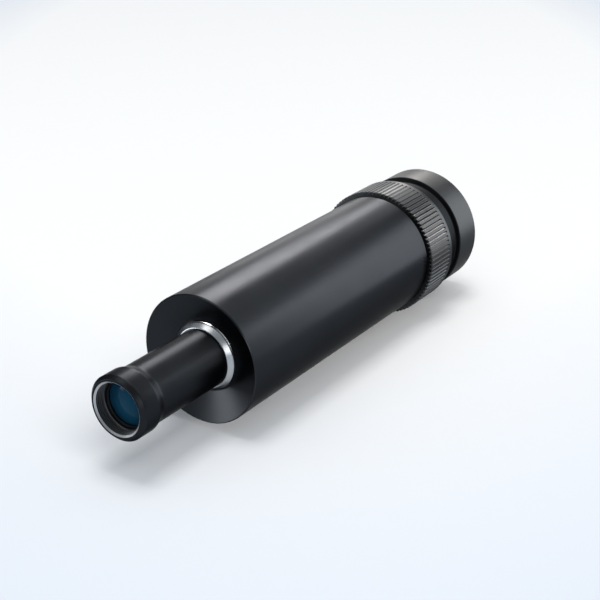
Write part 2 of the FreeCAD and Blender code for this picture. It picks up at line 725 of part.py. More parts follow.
# Rear stack in the carrier, from the stop down to the threaded ring
stop_bottom = stop_seat - s.stop_thickness
turned_body("aperture_stop", [
    (s.stop_radius + s.stop_thickness, stop_bottom),
    (s.rear_lens_radius, stop_bottom),
    (s.rear_lens_radius, stop_seat),
    (s.stop_radius, stop_seat),
])
stop_spacer_bottom = stop_bottom - s.stop_spacer_length
tube_body("stop_spacer", rear_clear_radius, s.rear_lens_radius, stop_spacer_bottom, stop_bottom)
rear_lens = (s.rear_lens_radius, rear_clear_radius)
rear_singlet_bottom = stop_spacer_bottom - s.rear_singlet_edge
lens_body(
    "rear_singlet", *rear_lens, rear_singlet_bottom, stop_spacer_bottom,
    high_curve=(s.rear_singlet_curve, 1),
)
rear_spacer_bottom = rear_singlet_bottom - s.rear_spacer_length
tube_body("rear_spacer", rear_clear_radius, s.rear_lens_radius, rear_spacer_bottom, rear_singlet_bottom)
rear_crown_bottom = rear_spacer_bottom - s.rear_crown_edge
lens_body(
    "rear_crown", *rear_lens, rear_crown_bottom, rear_spacer_bottom,
    low_curve=(s.rear_inner_curve, 1), high_curve=(s.rear_front_curve, 1),
)
rear_flint_top = rear_crown_bottom - s.fit_gap
rear_flint_bottom = rear_flint_top - s.rear_flint_edge
lens_body(
    "rear_flint", *rear_lens, rear_flint_bottom, rear_flint_top,
    high_curve=(s.rear_inner_curve, -1),
)
threaded_ring(
    "rear_retaining_ring", rear_clear_radius, s.rear_lens_radius,
    rear_flint_bottom - s.rear_ring_thickness, rear_flint_bottom,
)

doc.recompute()
for thing in doc.Objects:
    if "Invalid" in thing.State or "Error" in thing.State:
        raise RuntimeError(f"{thing.Label} failed: {thing.State}")
os.makedirs("parts", exist_ok=True)
for body in doc.Objects:
    if body.TypeId != "PartDesign::Body":
        continue
    if body.Shape.isNull() or not body.Shape.isValid():
        raise RuntimeError(f"{body.Label} has no valid shape")
    body.Shape.exportStep(f"parts/{body.Label}.step")
    box = body.Shape.BoundBox
    print(f"{body.Label}: {len(body.Shape.Solids)} solid, {body.Shape.Volume:.1f} mm3, "
          f"z {box.ZMin:.2f} to {box.ZMax:.2f}, radius {box.XMax:.2f}")
print(f"focus slide per radian of ring turn: {lead.value / (2 * math.pi):.6f} mm")
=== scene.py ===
"""Telecentric lens lying on a pale table, put together from the rear mount to the front glass.

The optical axis is Z with the camera thread at its foot and the nose at its top. Blender works in
metres. The lens's sizes are written in millimetres and turned by MM; table, lamps and camera stand
in metres.
"""
import math
import bpy
import mathutils
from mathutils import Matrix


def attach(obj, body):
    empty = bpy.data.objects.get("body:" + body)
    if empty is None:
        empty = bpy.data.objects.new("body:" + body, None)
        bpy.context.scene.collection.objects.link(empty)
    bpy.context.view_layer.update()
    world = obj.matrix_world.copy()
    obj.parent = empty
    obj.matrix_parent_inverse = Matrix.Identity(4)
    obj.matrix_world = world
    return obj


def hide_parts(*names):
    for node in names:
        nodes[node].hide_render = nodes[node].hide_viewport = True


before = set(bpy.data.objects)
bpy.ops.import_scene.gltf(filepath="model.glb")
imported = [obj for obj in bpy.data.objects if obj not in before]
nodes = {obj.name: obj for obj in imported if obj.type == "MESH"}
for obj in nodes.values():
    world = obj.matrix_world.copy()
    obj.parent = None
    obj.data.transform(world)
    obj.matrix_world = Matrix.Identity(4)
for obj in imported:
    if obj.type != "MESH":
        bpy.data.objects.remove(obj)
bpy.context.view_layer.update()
MM = 0.001


# Mount
# Collar, neck and camera thread, turned in one piece from aluminium bar and anodised satin black.
# The outside thread has 32 turns to the inch, with a bevelled start and a relief at the flange.
def linear(shade):
    """Turn an sRGB colour such as 1A2B3C into the linear values that a shader works with."""
    parts = [int(shade[place:place + 2], 16) / 255 for place in (0, 2, 4)]
    return [part / 12.92 if part <= 0.04045 else ((part + 0.055) / 1.055) ** 2.4 for part in parts] + [1.0]


def add(tree, kind, feeds=(), **settings):
    """Add a node with its settings, and feed its inputs with values, sockets or whole nodes."""
    node = tree.nodes.new(kind)
    for name, value in settings.items():
        setattr(node, name, value)
    for place, value in feeds.items() if isinstance(feeds, dict) else enumerate(feeds):
        if isinstance(value, bpy.types.Node):
            value = next(socket for socket in value.outputs if socket.enabled)
        if isinstance(value, bpy.types.NodeSocket):
            tree.links.new(value, node.inputs[place])
        else:
            node.inputs[place].default_value = value
    return node


def new_finish(name):
    """Start a material. Gives it, its tree and the place in metres on the lens."""
    material = bpy.data.materials.new(name)
    material.use_nodes = True
    tree = material.node_tree
    tree.nodes.clear()
    return material, tree, add(tree, "ShaderNodeTexCoord").outputs["Object"]


def turning_marks(tree, place, width):
    """Fine rings of the lathe tool, which run round the axis on walls, faces and cones alike."""
    parts = add(tree, "ShaderNodeSeparateXYZ", (place,))
    flat = add(tree, "ShaderNodeCombineXYZ", (parts.outputs["X"], parts.outputs["Y"]))
    radius = add(tree, "ShaderNodeVectorMath", (flat,), operation="LENGTH").outputs["Value"]
    along = add(tree, "ShaderNodeMath", (parts.outputs["Z"], radius), operation="ADD")
    return add(tree, "ShaderNodeTexNoise", {"W": along, "Scale": 1 / width, "Detail": 2.0},
               noise_dimensions="1D")


def anodised(name, shade, roughness):
    """Black anodised aluminium: metal under a dyed oxide skin, so it is a dark metal with a satin sheen.

    The dye swallows the light of a flat look along the surface too, which the edge shade gives.
    Blast grain and tool rings are finer on the real part, and drawn as coarse as the render needs to
    show them. The dye takes unevenly, in clouds of a slightly paler shade and another gloss.
    """
    material, tree, place = new_finish(name)
    cloud_width, grain_width, ring_width, grain_height = 9 * MM, 0.3 * MM, 0.45 * MM, 0.002 * MM
    cloud = add(tree, "ShaderNodeTexNoise", {"Vector": place, "Scale": 1 / cloud_width, "Detail": 3.0})
    grain = add(tree, "ShaderNodeTexNoise", {"Vector": place, "Scale": 1 / grain_width, "Detail": 2.0})
    marks = turning_marks(tree, place, ring_width)
    paler_by, gloss_spread = 1.15, 0.03
    paler = [paler_by * part for part in linear(shade)[:3]] + [1.0]
    tone = add(tree, "ShaderNodeMix", {"Factor": cloud, "A": linear(shade), "B": paler}, data_type="RGBA")
    satin = add(tree, "ShaderNodeMapRange", {
        "Value": cloud, "From Min": 0.3, "From Max": 0.7,
        "To Min": roughness - gloss_spread, "To Max": roughness + gloss_spread,
    })
    surface = add(tree, "ShaderNodeMath", (marks, 0.5, grain), operation="MULTIPLY_ADD")
    bump = add(tree, "ShaderNodeBump", {"Strength": 0.5, "Distance": grain_height, "Height": surface})
    shader = add(tree, "ShaderNodeBsdfPrincipled", {
        "Base Color": tone.outputs[2], "Metallic": 1.0, "Roughness": satin, "Normal": bump,
        "Specular Tint": linear("B4B4B4"),
    })
    add(tree, "ShaderNodeOutputMaterial", {"Surface": shader})
    return material


CORNER_STEP = math.radians(5)


def turned_skin(name, outline, around, finishes, open_span=None, own_finish=None):
    """Spin an outline in mm, drawn with the metal on its left, round the optical axis.

    A third number rounds a corner. One span may stay open for a thread, and own_finish gives spans
    another of the finishes.
    """
    own_finish = own_finish or {}
    line, span_of = [], []
    for number, corner in enumerate(outline):
        at = mathutils.Vector(corner[:2])
        if len(corner) == 2:
            line.append(at)
            span_of.append(number)
            continue
        back = (mathutils.Vector(outline[number - 1][:2]) - at).normalized()
        onward = (mathutils.Vector(outline[(number + 1) % len(outline)][:2]) - at).normalized()
        half = back.angle(onward) / 2
        centre = at + (back + onward).normalized() * corner[2] / math.sin(half)
        spoke = at + back * corner[2] / math.tan(half) - centre
        sweep = math.copysign(math.pi - 2 * half, onward.cross(back))
        steps = math.ceil(abs(sweep) / CORNER_STEP)
        for step in range(steps + 1):
            line.append(centre + mathutils.Matrix.Rotation(sweep * step / steps, 2) @ spoke)
            span_of.append(number)
    verts = []
    for radius, height in line:
        for step in range(around):
            angle = 2 * math.pi * step / around
            verts.append((radius * MM * math.cos(angle), radius * MM * math.sin(angle), height * MM))
    faces, slots = [], []
    for span, number in enumerate(span_of):
        if number == open_span:
            continue
        low, high = span * around, (span + 1) % len(line) * around
        for step in range(around):
            beside = (step + 1) % around
            faces.append((low + step, low + beside, high + beside, high + step))
            slots.append(own_finish.get(number, 0))
    mesh = bpy.data.meshes.new(name)
    mesh.from_pydata(verts, [], faces)
    for finish in finishes:
        mesh.materials.append(finish)
    mesh.polygons.foreach_set("material_index", slots)
    piece = bpy.data.objects.new(name, mesh)
    bpy.context.scene.collection.objects.link(piece)
    return piece


def new_tree(name, sockets):
    """Start a Geometry Nodes tree with named inputs. Gives it and its input node."""
    tree = bpy.data.node_groups.new(name, "GeometryNodeTree")
    tree.interface.new_socket("Geometry", in_out="OUTPUT", socket_type="NodeSocketGeometry")
    tree.interface.new_socket("Geometry", in_out="INPUT", socket_type="NodeSocketGeometry")
    for label, kind in sockets:
        tree.interface.new_socket(label, in_out="INPUT", socket_type=f"NodeSocket{kind}")
    return tree, add(tree, "NodeGroupInput").outputs


def crisp(tree, geometry):
    """Weld the seams, then shade smooth between edges that turn by more than six degrees."""
    weld, sharp = 0.001 * MM, math.radians(6)
    welded = add(tree, "GeometryNodeMergeByDistance", {"Geometry": geometry, "Distance": weld})
    smooth = add(tree, "GeometryNodeSetShadeSmooth", {"Geometry": welded, "Shade Smooth": True})
    angle = add(tree, "GeometryNodeInputMeshEdgeAngle").outputs["Unsigned Angle"]
    corner = add(tree, "FunctionNodeCompare", {"A": angle, "B": sharp}, operation="GREATER_THAN")
    return add(tree, "GeometryNodeSetShadeSmooth",
               {"Geometry": smooth, "Selection": corner, "Shade Smooth": False}, domain="EDGE")


def worked(piece, tree, values):
    """Run a tree on a piece and keep the result as a plain mesh under the piece's name."""
    modifier = piece.modifiers.new(tree.name, "NODES")
    modifier.node_group = tree
    for socket in tree.interface.items_tree:
        if socket.in_out == "INPUT" and socket.name in values:
            modifier[socket.identifier] = values[socket.name]
    seen = bpy.context.evaluated_depsgraph_get()
    mesh = bpy.data.meshes.new_from_object(piece.evaluated_get(seen), depsgraph=seen)
    piece.modifiers.remove(modifier)
    rough = piece.data
    piece.data = mesh
    bpy.data.meshes.remove(rough)
    mesh.name = piece.name


# A screw thread as one wall that follows the helix: flat crest, flank, flat root, flank.
# Both ends run out at 45 degrees to the base radius, where the turned skin meets them.
# Each turn has four rows of corners, at these shares of the pitch and heights over the base. It
# starts a turn early and ends with a row more, so that the run-outs reach both ends.
ROWS_A_TURN = 4.0
CORNER_PLACES, CORNER_RIDGES = (0.0, 1 / 8, 7 / 16, 11 / 16), (1.0, 1.0, 0.0, 0.0)
thread_tree, given = new_tree("Screw thread", (
    ("Around", "Int"), ("Base Radius", "Float"), ("Depth", "Float"), ("Pitch", "Float"),
    ("From", "Float"), ("To", "Float"), ("Inside", "Bool"), ("Finish", "Material"),
))
span = add(thread_tree, "ShaderNodeMath", (given["To"], given["From"]), operation="SUBTRACT")
turns = add(thread_tree, "ShaderNodeMath", (span, given["Pitch"]), operation="DIVIDE")
turns = add(thread_tree, "ShaderNodeMath", (turns,), operation="CEIL")
rows = add(thread_tree, "ShaderNodeMath", (turns, ROWS_A_TURN, ROWS_A_TURN + 1), operation="MULTIPLY_ADD")
columns = add(thread_tree, "ShaderNodeMath", (given["Around"], 1.0), operation="ADD")
wall = add(thread_tree, "GeometryNodeMeshGrid", {"Vertices X": columns, "Vertices Y": rows})
index = add(thread_tree, "GeometryNodeInputIndex")
column = add(thread_tree, "ShaderNodeMath", (index, rows), operation="DIVIDE")
column = add(thread_tree, "ShaderNodeMath", (column,), operation="FLOOR")
row = add(thread_tree, "ShaderNodeMath", (index, rows), operation="MODULO")
part_turn = add(thread_tree, "ShaderNodeMath", (column, given["Around"]), operation="DIVIDE")
whole_turn = add(thread_tree, "ShaderNodeMath", (row, ROWS_A_TURN), operation="DIVIDE")
whole_turn = add(thread_tree, "ShaderNodeMath", (whole_turn,), operation="FLOOR")
corner = add(thread_tree, "ShaderNodeMath", (row, ROWS_A_TURN), operation="MODULO")
profile = add(thread_tree, "GeometryNodeIndexSwitch", data_type="FLOAT")
ridge = add(thread_tree, "GeometryNodeIndexSwitch", data_type="FLOAT")
for switch, corner_values in ((profile, CORNER_PLACES), (ridge, CORNER_RIDGES)):
    switch.index_switch_items.new()
    switch.index_switch_items.new()
    thread_tree.links.new(corner.outputs[0], switch.inputs["Index"])
    for number, value in enumerate(corner_values):
        switch.inputs[str(number)].default_value = value
advance = add(thread_tree, "ShaderNodeMath", (whole_turn, part_turn), operation="ADD")
advance = add(thread_tree, "ShaderNodeMath", (advance, profile), operation="ADD")
advance = add(thread_tree, "ShaderNodeMath", (advance, 1.0), operation="SUBTRACT")
height = add(thread_tree, "ShaderNodeMath", (advance, given["Pitch"], given["From"]),
             operation="MULTIPLY_ADD")
height = add(thread_tree, "ShaderNodeMath", (height, given["From"]), operation="MAXIMUM")
height = add(thread_tree, "ShaderNodeMath", (height, given["To"]), operation="MINIMUM")
above = add(thread_tree, "ShaderNodeMath", (height, given["From"]), operation="SUBTRACT")
below = add(thread_tree, "ShaderNodeMath", (given["To"], height), operation="SUBTRACT")
run_out = add(thread_tree, "ShaderNodeMath", (above, below), operation="MINIMUM")
raised = add(thread_tree, "ShaderNodeMath", (ridge, given["Depth"]), operation="MULTIPLY")
raised = add(thread_tree, "ShaderNodeMath", (raised, run_out), operation="MINIMUM")
radius = add(thread_tree, "ShaderNodeMath", (raised, given["Base Radius"]), operation="ADD")
angle = add(thread_tree, "ShaderNodeMath", (part_turn, 2 * math.pi), operation="MULTIPLY")
spot = add(thread_tree, "ShaderNodeCombineXYZ", {"X": radius, "Z": height})
spot = add(thread_tree, "ShaderNodeVectorRotate", {"Vector": spot, "Angle": angle}, rotation_type="Z_AXIS")
wall = add(thread_tree, "GeometryNodeSetPosition", {"Geometry": wall, "Position": spot})
wall = add(thread_tree, "GeometryNodeFlipFaces", {"Mesh": wall, "Selection": given["Inside"]})
marked = add(thread_tree, "GeometryNodeCaptureAttribute", domain="FACE")
marked.capture_items.new("BOOLEAN", "Thread")
thread_tree.links.new(wall.outputs[0], marked.inputs["Geometry"])
marked.inputs["Thread"].default_value = True
both = add(thread_tree, "GeometryNodeJoinGeometry")
for part in (marked.outputs["Geometry"], given["Geometry"]):
    thread_tree.links.new(part, both.inputs[0])
whole = add(thread_tree, "GeometryNodeRealizeInstances", (crisp(thread_tree, both),))
whole = add(thread_tree, "GeometryNodeSetMaterial", {
    "Geometry": whole, "Selection": marked.outputs["Thread"], "Material": given["Finish"],
})
add(thread_tree, "NodeGroupOutput", (whole,))

# The collar's finish catches broad soft light. The groove's is rougher, and its darker shade is painted
# shade, so it reads as a dark band.
mount_finish = anodised("Satin black anodised mount", "3A3C3E", roughness=0.38)
groove_painted_shade_finish = anodised("Matt black anodised groove, darker as painted shade", "242628", roughness=0.5)
MOUNT_AROUND = 256
THREAD_ROOT, THREAD_CREST, THREAD_PITCH = 12.2, 12.7, 25.4 / 32
RELIEF_START, FLANGE = 3.3, 4.0
COLLAR_RADIUS, COLLAR_FRONT, COLLAR_EDGE = 15.6, 12.6, 0.25
NECK_RADIUS, NECK_FRONT, NECK_CORNER = 14.3, 16.8, 0.2
LIP_RADIUS, MOUNT_FRONT, LIP_EDGE = 15.15, 17.2, 0.1
LENS_BORE, LENS_SEAT, SEAT_BORE = 9.52, 7.4, 8.6
BARREL_BORE, BARREL_SEAT = 13.62, 8.18
MOUNT_THREAD_SPAN, GROOVE_SPANS = 1, (5, 6, 7, 8)
mount = turned_skin("mount", [
    (LENS_BORE, 0.0), (THREAD_ROOT, 0.0), (THREAD_ROOT, RELIEF_START), (THREAD_ROOT, FLANGE),
    (COLLAR_RADIUS, FLANGE, COLLAR_EDGE), (COLLAR_RADIUS, COLLAR_FRONT, COLLAR_EDGE),
    (NECK_RADIUS, COLLAR_FRONT, NECK_CORNER), (NECK_RADIUS, NECK_FRONT, LIP_EDGE),
    (LIP_RADIUS, NECK_FRONT, LIP_EDGE), (LIP_RADIUS, MOUNT_FRONT, LIP_EDGE),
    (BARREL_BORE, MOUNT_FRONT), (BARREL_BORE, BARREL_SEAT), (SEAT_BORE, BARREL_SEAT),
    (SEAT_BORE, LENS_SEAT), (LENS_BORE, LENS_SEAT),
], MOUNT_AROUND, [mount_finish, groove_painted_shade_finish],
    open_span=MOUNT_THREAD_SPAN, own_finish=dict.fromkeys(GROOVE_SPANS, 1))
worked(mount, thread_tree, {
    "Around": MOUNT_AROUND, "Base Radius": THREAD_ROOT * MM, "Depth": (THREAD_CREST - THREAD_ROOT) * MM,
    "Pitch": THREAD_PITCH * MM, "From": 0.0, "To": RELIEF_START * MM, "Inside": False,
    "Finish": mount_finish,
})
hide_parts("c_mount")
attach(mount, "barrel")


# Last lens and its ring
# A plano-convex glass lens, held against the mount's seat by a threaded ring with spanner notches.
# Both are the solids' own meshes.
def coated_glass(name, body, tint, ior, clear=1.0):
    """Polished optical glass under a coating, which leaves a weak and tinted reflection.

    A faint film of dust makes the polish uneven. Clear is the share of light that passes.
    """
    material, tree, place = new_finish(name)
    film_width = 1.5 * MM
    dust = add(tree, "ShaderNodeTexNoise", {"Vector": place, "Scale": 1 / film_width, "Detail": 4.0})
    haze = add(tree, "ShaderNodeMapRange", {
        "Value": dust, "From Min": 0.55, "From Max": 0.8, "To Min": 0.0, "To Max": 0.04,
    })
    shader = add(tree, "ShaderNodeBsdfPrincipled", {
        "Base Color": linear(body), "Roughness": haze, "IOR": ior,
        "Specular Tint": linear(tint), "Specular IOR Level": 0.05, "Transmission Weight": clear,
    })
    add(tree, "ShaderNodeOutputMaterial", {"Surface": shader})
    return material


def dress(node, finish):
    """Give a solid's own mesh its real finish."""
    for slot in nodes[node].material_slots:
        slot.material = finish


# Inner parts are a dull black that swallows stray light. The rear glass looks a pale blue-green.
inside_finish = anodised("Matt black inner anodising", "1E2023", roughness=0.55)
dress("field_lens", coated_glass("Coated rear crown glass", "9CC0CC", "4A8FA8", 1.52))
dress("field_lens_ring", inside_finish)


# Glide washers
# Thin plain rings of black acetal on both faces of the focus ring, punched from sheet. They run
# greased and keep metal off metal.
def moulded(name, shade, roughness, grain_width):
    """Plastic or rubber: one colour all through, with an even grain, coarser than real so it shows."""
    material, tree, place = new_finish(name)
    grain_height, gloss_spread = 0.004 * MM, 0.06
    grain = add(tree, "ShaderNodeTexNoise", {"Vector": place, "Scale": 1 / grain_width, "Detail": 3.0})
    worn = add(tree, "ShaderNodeMapRange", {
        "Value": grain, "To Min": roughness - gloss_spread, "To Max": roughness + gloss_spread,
    })
    bump = add(tree, "ShaderNodeBump", {"Strength": 0.4, "Distance": grain_height, "Height": grain})
    shader = add(tree, "ShaderNodeBsdfPrincipled", {
        "Base Color": linear(shade), "Roughness": worn, "Normal": bump,
    })
    add(tree, "ShaderNodeOutputMaterial", {"Surface": shader})
    return material


# Waxy black that only shows as a dark line at the ring's front.
washer_finish = moulded("Black acetal washer", "17181A", 0.5, 0.4 * MM)
dress("front_glide_washer", washer_finish)
dress("rear_glide_washer", washer_finish)


# Focus ring
# Aluminium ring with 88 straight V flutes milled from its front, and a smooth land behind them.
# One flute with its half lands is drawn, and set round the axis. Its bore is relieved for the pins.
# The finish glints on the flutes' rounded edges and stays dark between them.
knurl_finish = anodised("Satin black anodised knurl", "3C3E40", roughness=0.34)
FLUTES = 88
RING_RADIUS, RING_BORE = 16.3, 13.64
RING_REAR, RING_FRONT, FRONT_EDGE = 17.4, 29.0, 0.1
BEVEL_START, BEVEL_RADIUS, BEVEL_END, LAND_START = 15.3, 16.2, 18.3, 18.5
RELIEF_RADIUS, RELIEF_FOOT, RELIEF_TOP = 14.84, 20.2, 26.2
FLUTE_END = 19.5
FLUTE_HALF, FLUTE_DEPTH, FLUTE_FLOOR = 0.24, 0.42, 0.03
EDGE_ROUND, EDGE_SINK, LAND_EDGE = 0.05, 0.07, 0.33
EDGE_INSIDE = EDGE_ROUND * 0.6
half_pitch = math.pi * RING_RADIUS / FLUTES
across = [
    (-half_pitch, 0.0), (-LAND_EDGE, 0.0), (-FLUTE_HALF - EDGE_ROUND, 0.0),
    (EDGE_INSIDE - FLUTE_HALF, EDGE_SINK), (-FLUTE_FLOOR, FLUTE_DEPTH), (FLUTE_FLOOR, FLUTE_DEPTH),
    (FLUTE_HALF - EDGE_INSIDE, EDGE_SINK), (FLUTE_HALF + EDGE_ROUND, 0.0),
    (LAND_EDGE, 0.0), (half_pitch, 0.0),
]

# Rows from the bore's rear round the outside and back: radius, height, and the shares of the flute's
# depth and width there. The flutes run out softly behind, and open into notches at the front.
NOTCH_START, NOTCH_WIDTH, NOTCH_DEPTH, NOTCH_FLOOR = RING_FRONT - 0.6, 1.6, 1.5, 15.4
rows_of_ring = [
    (RING_BORE, RING_REAR, 0.0, 1.0), (BEVEL_START, RING_REAR, 0.0, 1.0),
    (BEVEL_RADIUS, BEVEL_END, 0.0, 1.0), (RING_RADIUS, LAND_START, 0.0, 1.0),
    (RING_RADIUS, FLUTE_END, 0.0, 1.0), (RING_RADIUS, FLUTE_END + 0.12, 0.5, 1.0),
    (RING_RADIUS, FLUTE_END + 0.3, 0.85, 1.0), (RING_RADIUS, FLUTE_END + 0.5, 1.0, 1.0),
    (RING_RADIUS, NOTCH_START, 1.0, 1.0), (RING_RADIUS, RING_FRONT - FRONT_EDGE, NOTCH_DEPTH, NOTCH_WIDTH),
    (RING_RADIUS - FRONT_EDGE, RING_FRONT, NOTCH_DEPTH, NOTCH_WIDTH), (NOTCH_FLOOR, RING_FRONT, 0.0, 1.0),
    (RING_BORE, RING_FRONT, 0.0, 1.0), (RING_BORE, RELIEF_TOP, 0.0, 1.0),
    (RELIEF_RADIUS, RELIEF_TOP, 0.0, 1.0), (RELIEF_RADIUS, RELIEF_FOOT, 0.0, 1.0),
    (RING_BORE, RELIEF_FOOT, 0.0, 1.0),
]
flute_verts, flute_faces = [], []
for radius, height, depth_share, width_share in rows_of_ring:
    for offset, depth in across:
        reach = (radius - depth * depth_share) * MM
        turn = max(-half_pitch, min(half_pitch, offset * width_share)) / RING_RADIUS
        flute_verts.append((reach * math.cos(turn), reach * math.sin(turn), height * MM))
wide = len(across)
for line in range(len(rows_of_ring)):
    low, high = line * wide, (line + 1) % len(rows_of_ring) * wide
    for step in range(wide - 1):
        flute_faces.append((low + step, low + step + 1, high + step + 1, high + step))
flute_mesh = bpy.data.meshes.new("knurled_ring")
flute_mesh.from_pydata(flute_verts, [], flute_faces)
knurled_ring = bpy.data.objects.new("knurled_ring", flute_mesh)
bpy.context.scene.collection.objects.link(knurled_ring)

flute_tree, given = new_tree("Flutes round the ring", (("Flutes", "Int"), ("Finish", "Material")))
spots = add(flute_tree, "GeometryNodeMeshLine", {"Count": given["Flutes"], "Offset": (0.0, 0.0, 0.0)})
index = add(flute_tree, "GeometryNodeInputIndex")
share = add(flute_tree, "ShaderNodeMath", (index, given["Flutes"]), operation="DIVIDE")
turn = add(flute_tree, "ShaderNodeMath", (share, 2 * math.pi), operation="MULTIPLY")
turn = add(flute_tree, "ShaderNodeCombineXYZ", {"Z": turn})
copies = add(flute_tree, "GeometryNodeInstanceOnPoints", {
    "Points": spots, "Instance": given["Geometry"], "Rotation": turn,
})
copies = add(flute_tree, "GeometryNodeRealizeInstances", (copies,))
ring = add(flute_tree, "GeometryNodeSetMaterial", {
    "Geometry": crisp(flute_tree, copies), "Material": given["Finish"],
})
add(flute_tree, "NodeGroupOutput", (ring,))
worked(knurled_ring, flute_tree, {"Flutes": FLUTES, "Finish": knurl_finish})
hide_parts("focus_ring")
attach(knurled_ring, "focus_ring")


# Main barrel
# Thick aluminium tube with a dished front face, turned, blasted and anodised satin black.
# It is the solid's own mesh. Its finish draws the lights out into long soft streaks.
barrel_finish = anodised("Satin black anodised barrel", "292B2E", roughness=0.3)
dress("main_barrel", barrel_finish)


# Guide bush
# Bright stainless sleeve in which the nose slides, fine turned. A rubber wiper and a threaded
# ring behind the dish hold the nose clean and the bush tight.
def turned_metal(name, shade, roughness):
    """Bare turned metal: the tool's rings, coarser than real, break the highlight into soft streaks."""
    material, tree, place = new_finish(name)
    ring_width, ring_height, cloud_width, gloss_spread = 0.12 * MM, 0.002 * MM, 3 * MM, 0.05
    marks = turning_marks(tree, place, ring_width)
    cloud = add(tree, "ShaderNodeTexNoise", {"Vector": place, "Scale": 1 / cloud_width, "Detail": 2.0})
    rough = add(tree, "ShaderNodeMapRange", {
        "Value": cloud, "To Min": roughness - gloss_spread, "To Max": roughness + gloss_spread,
    })
    bump = add(tree, "ShaderNodeBump", {"Strength": 0.5, "Distance": ring_height, "Height": marks})
    shader = add(tree, "ShaderNodeBsdfPrincipled", {
        "Base Color": linear(shade), "Metallic": 1.0, "Roughness": rough, "Normal": bump,
    })
    add(tree, "ShaderNodeOutputMaterial", {"Surface": shader})
    return material


# The brightest piece of the lens, nearly white where it faces a light.
steel_finish = turned_metal("Turned stainless steel", "A6A9AC", 0.26)
BUSH_AROUND = 192
BUSH_BORE, BUSH_RADIUS, BUSH_FOOT, BUSH_TOP, BUSH_BEVEL = 6.74, 8.0, 91.5, 101.7, 1.0
SHOULDER_ROUND, LIP_ROUND = 0.5, 0.3
RIB_RADIUS, RIB_FOOT, RIB_TOP = 9.8, 95.5, 97.48
WIPER_RADIUS, WIPER_FOOT, WIPER_TOP = 7.16, 98.5, 99.5
bush = turned_skin("bush", [
    (BUSH_BORE, BUSH_FOOT), (BUSH_RADIUS, BUSH_FOOT), (BUSH_RADIUS, RIB_FOOT), (RIB_RADIUS, RIB_FOOT),
    (RIB_RADIUS, RIB_TOP), (BUSH_RADIUS, RIB_TOP), (BUSH_RADIUS, BUSH_TOP - BUSH_BEVEL, SHOULDER_ROUND),
    (BUSH_RADIUS - BUSH_BEVEL, BUSH_TOP, LIP_ROUND), (BUSH_BORE, BUSH_TOP), (BUSH_BORE, WIPER_TOP),
    (WIPER_RADIUS, WIPER_TOP), (WIPER_RADIUS, WIPER_FOOT), (BUSH_BORE, WIPER_FOOT),
], BUSH_AROUND, [steel_finish])

# This tree makes no instances, so it has none to realize.
bush_tree, given = new_tree("Crisp turned bush", (("Finish", "Material"),))
turned = add(bush_tree, "GeometryNodeSetMaterial", {
    "Geometry": crisp(bush_tree, given["Geometry"]), "Material": given["Finish"],
})
add(bush_tree, "NodeGroupOutput", (turned,))
worked(bush, bush_tree, {"Finish": steel_finish})
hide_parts("guide_bush")
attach(bush, "barrel")

# The wiper's rubber is a dead black line inside the bush.
dress("nose_seal", moulded("Black nitrile rubber", "101011", 0.6, 0.3 * MM))
dress("bush_retainer", inside_finish)


# Nose
# Slender aluminium tube with a wider head, anodised black. Its front rim is cut bright after
# anodising, and its recess carries a fine 0.5 mm filter thread over an undercut.
# Tube and head are the darkest satin, the rim a thin pale line, the thread a dark grey, paler than the tube
# as painted light in the recess.
nose_finish = anodised("Satin black anodised nose", "232528", roughness=0.34)
rim_finish = turned_metal("Cut bright aluminium rim", "A8AAAC", 0.32)
# The thread's paler grey is painted light in the recess, on the same black anodising as the tube.
recess_painted_light_finish = anodised("Paler black anodising of the thread as painted light", "4E5053", roughness=0.5)
NOSE_AROUND = 192
TUBE_RADIUS, TUBE_BORE, TUBE_FOOT, SLOPE_FOOT = 6.7, 5.4, 80.5, 122.4
SPIGOT_RADIUS, SPIGOT_TOP = 6.4, 88.5
HEAD_RADIUS, SLOPE_TOP, HEAD_BEVEL_START, NOSE_TOP = 7.3, 124.3, 128.45, 129.2
RIM_OUTSIDE, RIM_INSIDE = 6.55, 6.1
FILTER_CREST, FILTER_ROOT, FILTER_PITCH = 5.7, 5.98, 0.5
THREAD_TOP, THREAD_FOOT, THREAD_LANDING = 128.9, 126.4, 126.35
RING_SEAT_RADIUS, RING_SEAT = 5.5, 125.5
GLASS_BORE, GLASS_SEAT = 5.32, 119.08
STOP_BORE, STOP_FOOT = 4.9, 117.08
SLOPE_ROUND, HEAD_ROUND, BEVEL_ROUND, RIM_ROUND = 2.5, 1.5, 0.25, 0.15
RIM_SPAN, NOSE_THREAD_SPAN, RECESS_SPANS = 8, 9, (10, 11, 12, 13)
nose = turned_skin("nose", [
    (TUBE_BORE, TUBE_FOOT), (SPIGOT_RADIUS, TUBE_FOOT), (SPIGOT_RADIUS, SPIGOT_TOP),
    (TUBE_RADIUS, SPIGOT_TOP), (TUBE_RADIUS, SLOPE_FOOT, SLOPE_ROUND),
    (HEAD_RADIUS, SLOPE_TOP, HEAD_ROUND), (HEAD_RADIUS, HEAD_BEVEL_START, BEVEL_ROUND),
    (RIM_OUTSIDE, NOSE_TOP, RIM_ROUND), (RIM_INSIDE, NOSE_TOP),
    (FILTER_CREST, THREAD_TOP), (FILTER_CREST, THREAD_FOOT), (FILTER_CREST, THREAD_LANDING),
    (RING_SEAT_RADIUS, THREAD_LANDING), (RING_SEAT_RADIUS, RING_SEAT), (GLASS_BORE, RING_SEAT),
    (GLASS_BORE, GLASS_SEAT), (STOP_BORE, GLASS_SEAT), (STOP_BORE, STOP_FOOT), (TUBE_BORE, STOP_FOOT),
], NOSE_AROUND, [nose_finish, rim_finish, recess_painted_light_finish],
    open_span=NOSE_THREAD_SPAN, own_finish={RIM_SPAN: 1, **dict.fromkeys(RECESS_SPANS, 2)})
